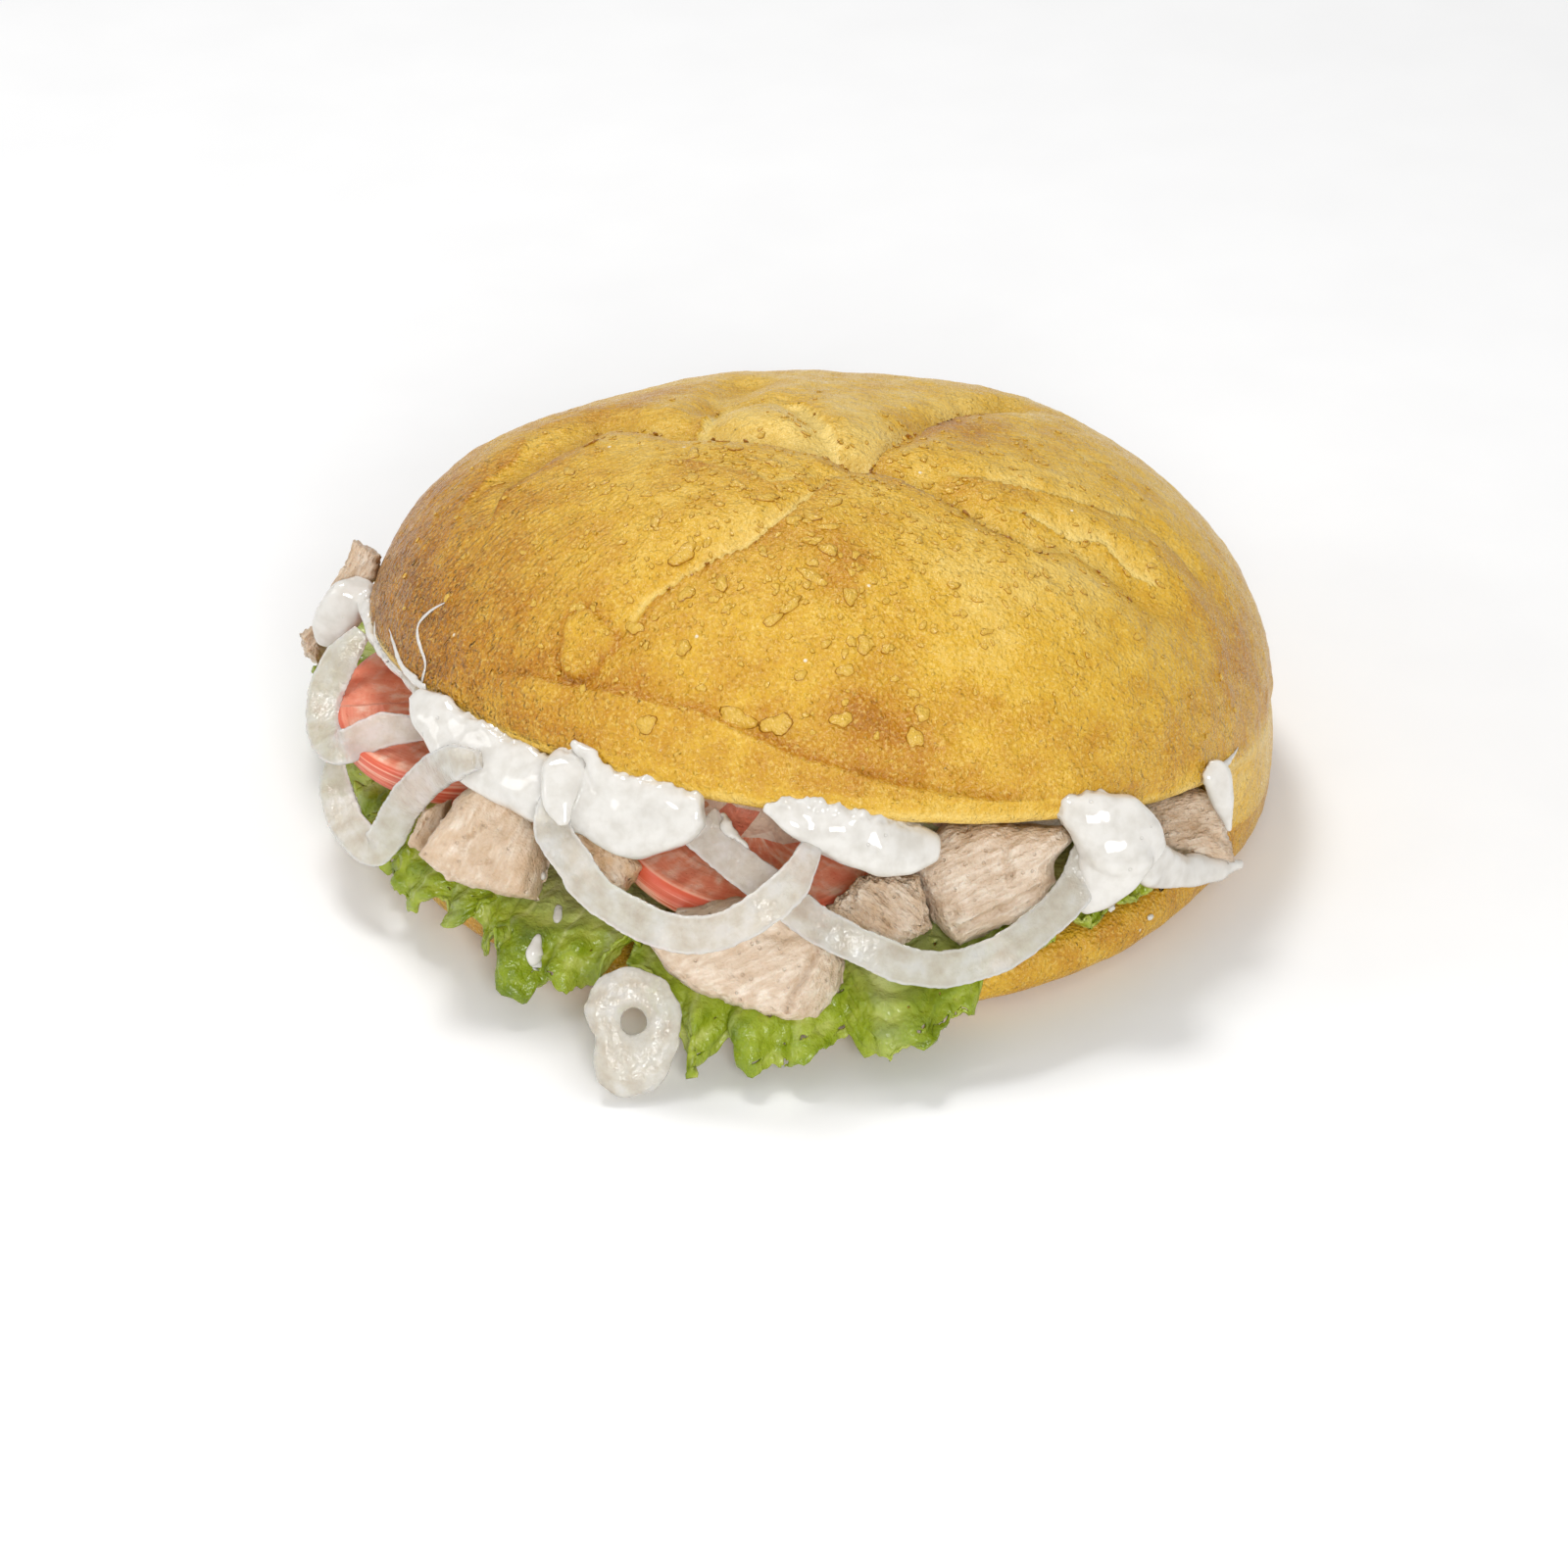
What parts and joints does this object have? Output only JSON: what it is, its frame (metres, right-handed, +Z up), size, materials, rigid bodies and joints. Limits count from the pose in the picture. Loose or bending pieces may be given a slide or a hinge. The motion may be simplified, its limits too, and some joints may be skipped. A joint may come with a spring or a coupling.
{
  "type": "doner kebab sandwich in a round bun",
  "caption": "Round bread bun cut open along the front and filled with chicken, tomato, onion rings, frilly lettuce and white sauce.",
  "frame": {"origin": "middle of the bun's flat underside, on the surface it rests on", "axes": "+Z up; -Y towards the front, where the mouth of the bun shows the filling; +X to the right as seen from the front"},
  "size_m": [0.1853, 0.191, 0.084],
  "materials": {
    "crust": "browned crust, slightly glossy",
    "chicken": "cooked, matt and fibrous",
    "tomato": "wet cut flesh with a glossy skin",
    "onion": "wet and translucent",
    "lettuce": "wet leaf",
    "sauce": "smooth and glossy",
    "chopped_filling": "moist and rough"
  },
  "bodies": {
    "root": {"bread": "crust", "chicken_1": "chicken", "chicken_2": "chicken", "chicken_3": "chicken", "chicken_4": "chicken", "chicken_5": "chicken", "chicken_6": "chicken", "chicken_7": "chicken", "chicken_8": "chicken", "chicken_9": "chicken", "filling": "chopped_filling", "lettuce_1": "lettuce", "lettuce_2": "lettuce", "lettuce_3": "lettuce", "lettuce_4": "lettuce", "lettuce_5": "lettuce", "onion_1": "onion", "onion_2": "onion", "onion_3": "onion", "onion_4": "onion", "onion_5": "onion", "sauce_1": "sauce", "sauce_2": "sauce", "sauce_3": "sauce", "sauce_4": "sauce", "sauce_5": "sauce", "tomato_1": "tomato", "tomato_2": "tomato"}
  },
  "joints": []
}
